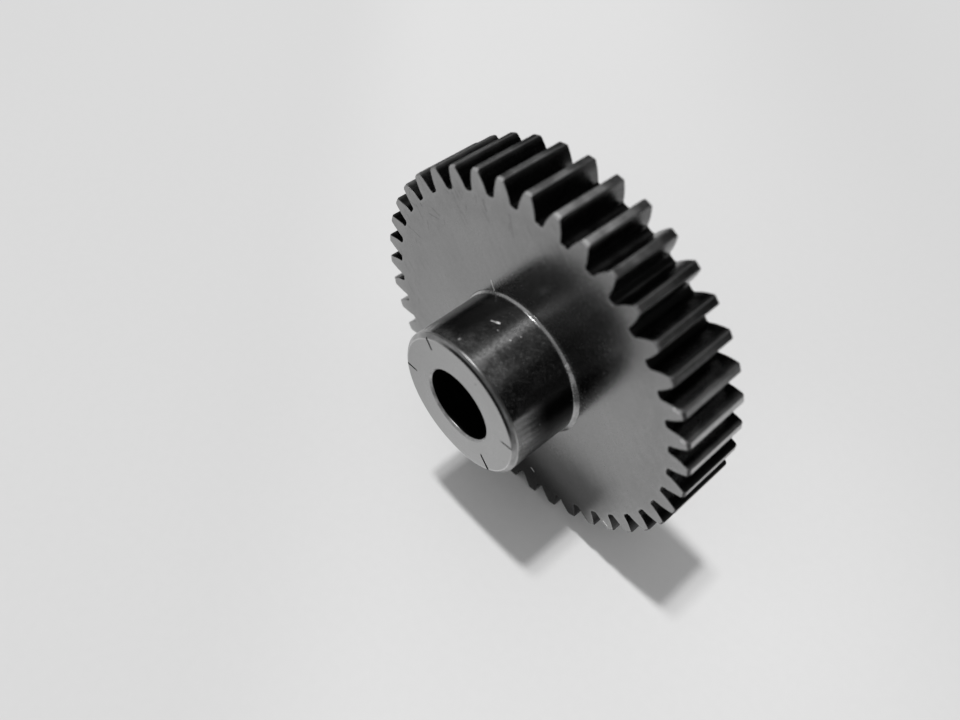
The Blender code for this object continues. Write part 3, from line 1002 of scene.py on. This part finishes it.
# ----------------------------------------------------------------------- stage
def build_floor():
    size = 4000.0
    coords, faces = [], []
    steps = 8
    for i in range(steps + 1):
        for j in range(steps + 1):
            coords.append((-size / 2 + size * i / steps, -size / 2 + size * j / steps, FLOOR))
    for i in range(steps):
        for j in range(steps):
            a = i * (steps + 1) + j
            faces.append((a, a + steps + 1, a + steps + 2, a + 1))
    material, g = new_material("pale_floor")
    p = millimetres(g)
    soft = g.noise(p, 0.006, 2.0, 0.5)
    grain = g.noise(p, 0.9, 2.0, 0.5)
    value = g.mul(g.ramp(soft, 0.3, 0.7, 0.985, 1.015), g.mul(g.ramp(grain, 0.3, 0.7, 0.995, 1.005), 0.79))
    # In the steel's reflections the pale surface ends on the left, and a painted shadow darkens it where the camera
    # hangs over it.
    s = g.separate(p)
    left = g.ramp(s[0], -112.0, -138.0, 0.0, 1.0)
    under = g.vec("LENGTH", g.combine(g.mul(g.sub(s[0], 62.0), 1 / 50.0), g.mul(g.add(s[1], 48.0), 1 / 44.0), 0.0))
    shade = g.math("MAXIMUM", left, g.ramp(under, 0.75, 1.15, 0.97, 0.0))
    glossy = g.node("ShaderNodeLightPath").outputs["Is Glossy Ray"]
    value = g.mul(value, g.sub(1.0, g.mul(glossy, g.mul(shade, 0.97))))
    # Painted light: a touch brighter in the middle of the picture than at its sides, with a pale patch over the far
    # end of the wheel's shadow.
    side = g.add(g.mul(s[0], 0.67), g.mul(s[1], 0.742))
    deep = g.sub(g.mul(s[1], 0.67), g.mul(s[0], 0.742))
    painted_floor_light = g.mul(g.ramp(side, -34.0, -10.0, 0.915, 1.0), g.ramp(side, 22.0, 78.0, 1.0, 0.895))
    spot = g.vec("LENGTH", g.combine(g.mul(g.sub(side, 28.0), 1 / 32.0), g.mul(g.add(deep, 8.0), 1 / 30.0), 0.0))
    painted_floor_light = g.add(painted_floor_light, g.ramp(spot, 0.3, 1.0, 0.035, 0.0))
    far = g.ramp(g.vec("LENGTH", g.combine(s[0], s[1], 0.0)), 130.0, 260.0)
    value = g.mul(value, g.mix(far, painted_floor_light, 0.94))
    principled = g.node("ShaderNodeBsdfPrincipled", {"Roughness": 1.0, "Specular IOR Level": 0.0})
    tint = g.node("ShaderNodeCombineColor", {"Red": value, "Green": value, "Blue": value})
    g.tree.links.new(tint.outputs[0], principled.inputs["Base Color"])
    out = g.node("ShaderNodeOutputMaterial")
    g.tree.links.new(principled.outputs[0], out.inputs["Surface"])
    floor = mesh_object("floor", coords, faces, np.zeros(len(faces)), [material])
    return floor


def add_sun(name, direction, strength, degrees):
    light = bpy.data.lights.new(name, "SUN")
    light.energy = strength
    light.angle = math.radians(degrees)
    obj = bpy.data.objects.new(name, light)
    obj.rotation_mode = "QUATERNION"
    obj.rotation_quaternion = Vector(direction).to_track_quat("Z", "Y")
    bpy.context.scene.collection.objects.link(obj)
    return obj


def build_world():
    """Soft ambient light on the floor, and a dim room over it in the steel's
    reflections."""
    world = bpy.data.worlds.new("studio")
    bpy.context.scene.world = world
    world.use_nodes = True
    g = Graph(world.node_tree)
    direction = g.separate(g.node("ShaderNodeTexCoord").outputs["Generated"])
    x, y, up = direction[0], direction[1], direction[2]
    rays = g.node("ShaderNodeLightPath").outputs
    # In reflections the room is dark, and brighter low down in front, most of
    # all to the left.
    low_front = g.mul(g.ramp(y, -0.40, -0.62), g.ramp(up, 0.20, 0.78, 1.0, 0.22))
    low_front = g.mul(low_front, g.ramp(x, -0.05, 0.45, 0.56, 0.22))
    room = g.add(0.012, low_front)
    # On the floor the soft light comes more from the front than from behind.
    ambient = g.mul(g.sub(1.0, g.mul(y, 0.55)), 0.41)
    value = g.mix(rays["Is Glossy Ray"], ambient, room)
    value = g.mix(rays["Is Camera Ray"], value, 0.76)
    background = g.node("ShaderNodeBackground", {"Strength": 1.0})
    tint = g.node("ShaderNodeCombineColor", {"Red": value, "Green": value, "Blue": value})
    g.tree.links.new(tint.outputs[0], background.inputs["Color"])
    out = g.node("ShaderNodeOutputWorld")
    g.tree.links.new(background.outputs[0], out.inputs["Surface"])
    world.cycles.sampling_method = "NONE"


build_floor()
add_sun("ceiling_light_a", (-0.149, -0.042, 1.0), 1.07, 3.8)
add_sun("ceiling_light_b", (-0.220, -0.042, 1.0), 0.68, 3.8)
build_world()

camera = bpy.data.cameras.new("camera")
camera.lens, camera.sensor_width, camera.sensor_fit = 29.504, 36.0, "HORIZONTAL"
camera.clip_start, camera.clip_end = 0.001, 10.0
camera.dof.use_dof = True
camera.dof.focus_distance = 0.082
camera.dof.aperture_fstop = 20.0
camera_object = bpy.data.objects.new("camera", camera)
bpy.context.scene.collection.objects.link(camera_object)
right = Vector((0.66924519, 0.74147379, 0.04824413))
above = Vector((-0.61271851, 0.51397092, 0.6003415))
ahead = Vector((-0.42034141, 0.43133574, -0.79828728))
basis = Matrix((right, above, -ahead)).transposed().to_4x4()
camera_object.matrix_world = Matrix.Translation(Vector((30.688, -36.830, 63.398)) * MM) @ basis
bpy.context.scene.camera = camera_object

scene = bpy.context.scene
scene.view_settings.view_transform = "Standard"
scene.view_settings.look = "None"
scene.view_settings.exposure = 0.0
scene.view_settings.gamma = 1.0
# A gentle S-curve: deep blacks and clean mid greys.
scene.view_settings.use_curve_mapping = True
curve_mapping = scene.view_settings.curve_mapping
tone = curve_mapping.curves[3]


def linear(level):
    level /= 255.0
    return level / 12.92 if level <= 0.04045 else ((level + 0.055) / 1.055) ** 2.4


for before, after in ((12, 4), (25, 13), (50, 36), (80, 67), (110, 104), (135, 134), (165, 165), (200, 204), (228, 228)):
    point = tone.points.new(linear(before), linear(after))
    point.handle_type = "AUTO_CLAMPED"
curve_mapping.update()
scene.cycles.max_bounces = 8
scene.cycles.diffuse_bounces = 4
scene.cycles.glossy_bounces = 6
scene.cycles.caustics_reflective = True
scene.cycles.caustics_refractive = False
scene.cycles.blur_glossy = 1.0
scene.cycles.sample_clamp_indirect = 2.0
scene.cycles.use_denoising = True

bpy.context.view_layer.update()
